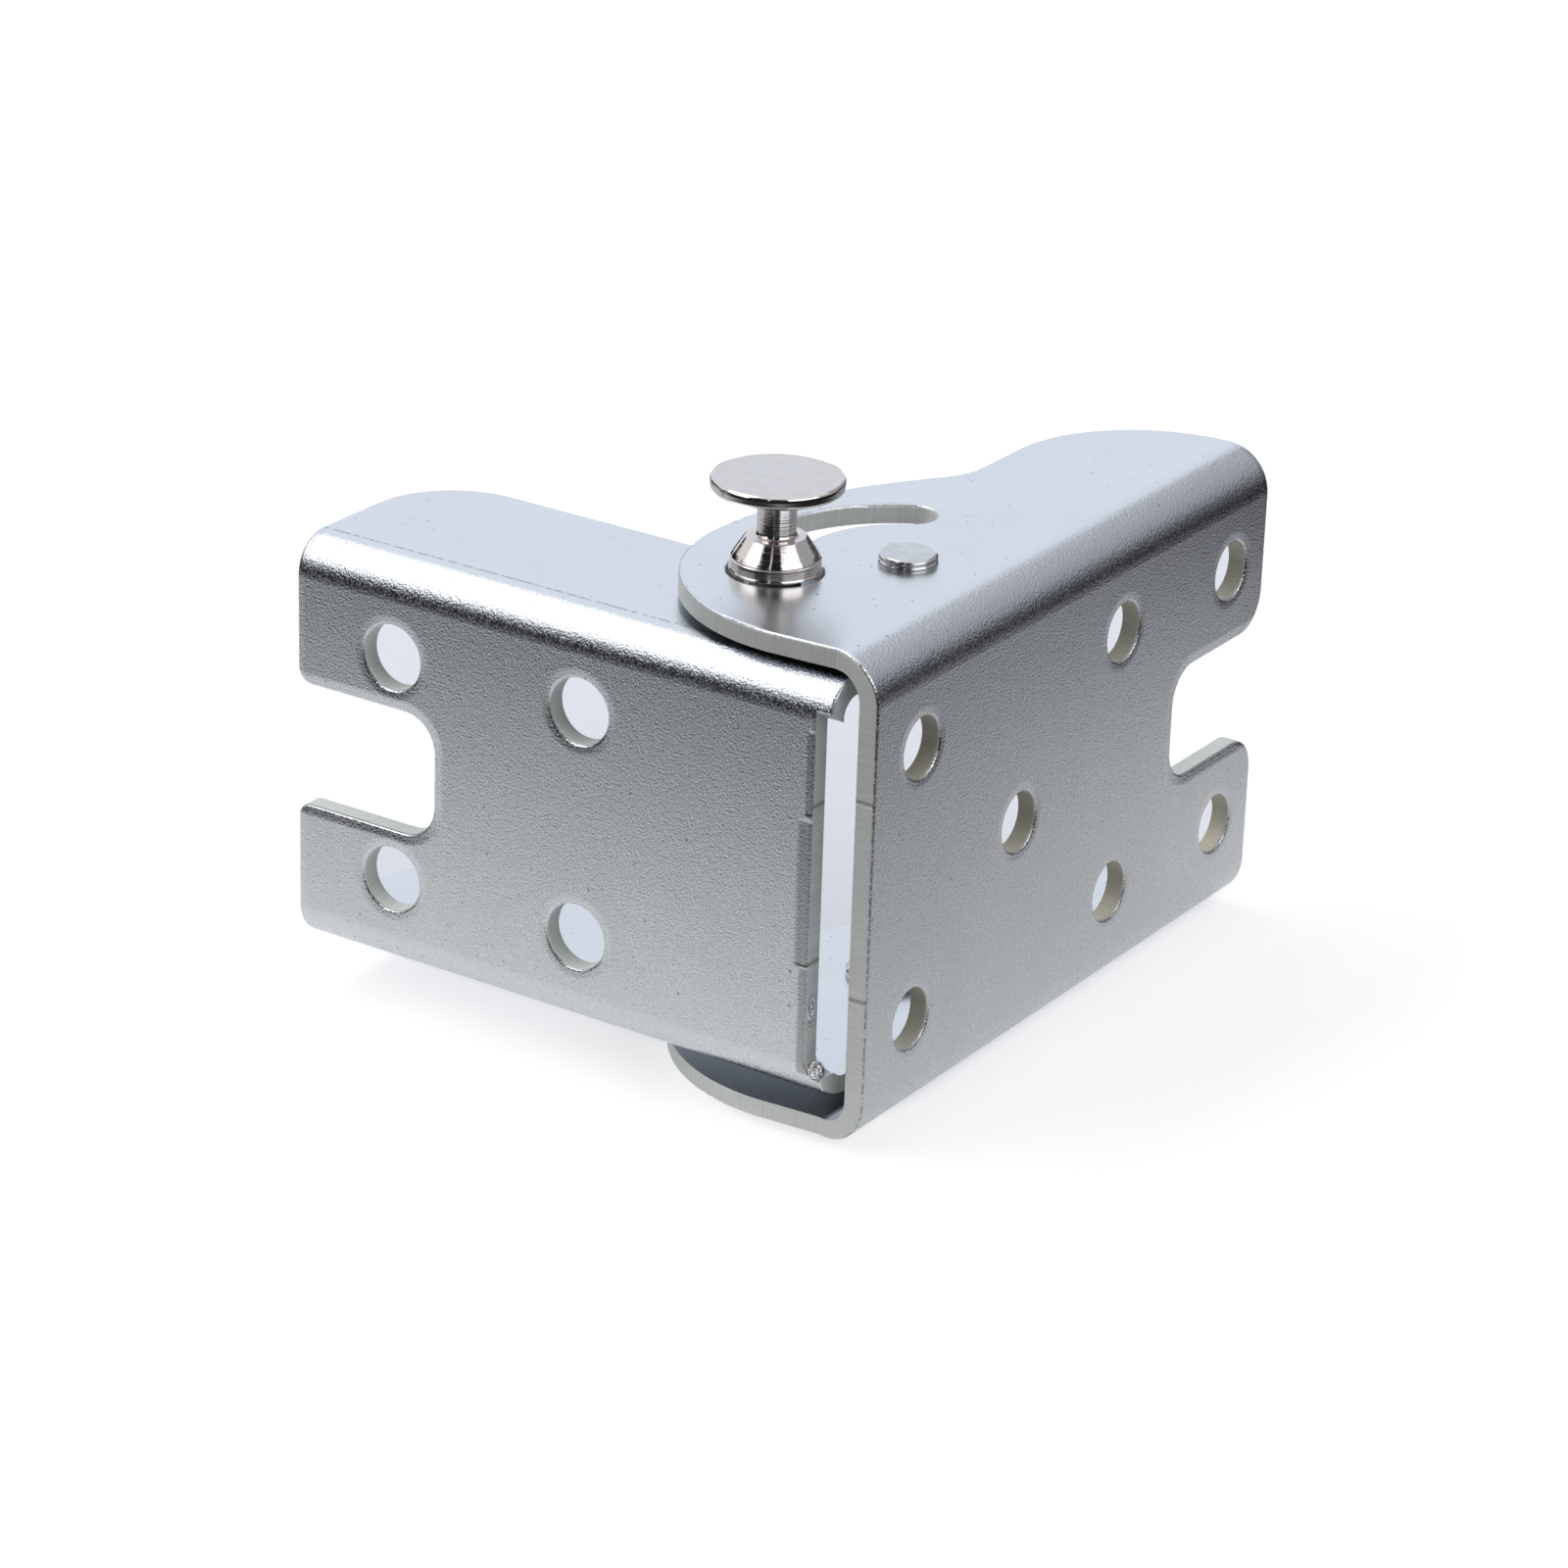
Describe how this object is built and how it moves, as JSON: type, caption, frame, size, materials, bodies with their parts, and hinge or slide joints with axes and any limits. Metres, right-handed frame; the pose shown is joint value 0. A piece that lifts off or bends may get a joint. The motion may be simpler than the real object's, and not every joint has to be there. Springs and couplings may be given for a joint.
{
  "type": "folding table leg bracket",
  "caption": "Folding steel leg bracket: two pressed channels on a riveted pivot, locked open by a spring-loaded pull pin in a curved slot.",
  "frame": {"origin": "centre of the table leaf's middle hole, on its flat mounting face; it is also the centre of the four screw holes round it", "axes": "+X along the table leaf to its notched end, +Y from the mounting face into the channel (the leg leaf points along +Y when open), +Z along the pivot towards the lock pin's knob"},
  "size_m": [0.0753, 0.0663, 0.0604],
  "materials": {
    "zinc_steel": "satin, bright zinc plating",
    "zinc_rivet": "satin, bright zinc plating",
    "nickel": "polished, nickel plating",
    "spring_steel": "satin"
  },
  "bodies": {
    "table_leaf": {"table_bracket": "zinc_steel", "upper_rivet": "zinc_rivet", "lower_rivet": "zinc_rivet", "upper_washer": "zinc_rivet", "lower_spacer": "zinc_rivet"},
    "leg_leaf": {"leg_bracket": "zinc_steel", "pin_spring": "spring_steel"},
    "pin": {"lock_pin": "nickel", "pin_washer": "zinc_rivet"}
  },
  "joints": [
    {"name": "fold", "type": "hinge", "parent": "table_leaf", "child": "leg_leaf", "pos_m": [-0.0029, 0.0121, 0], "axis": [0, 0, 1], "range_deg": [-104, 0]},
    {"name": "pin_lift", "type": "slide", "parent": "leg_leaf", "child": "pin", "axis": [0, 0, 1], "range_m": [0, 0.003], "stiffness_N_per_m": 2300, "springref_m": -0.002, "deforming": ["pin_spring"]}
  ]
}
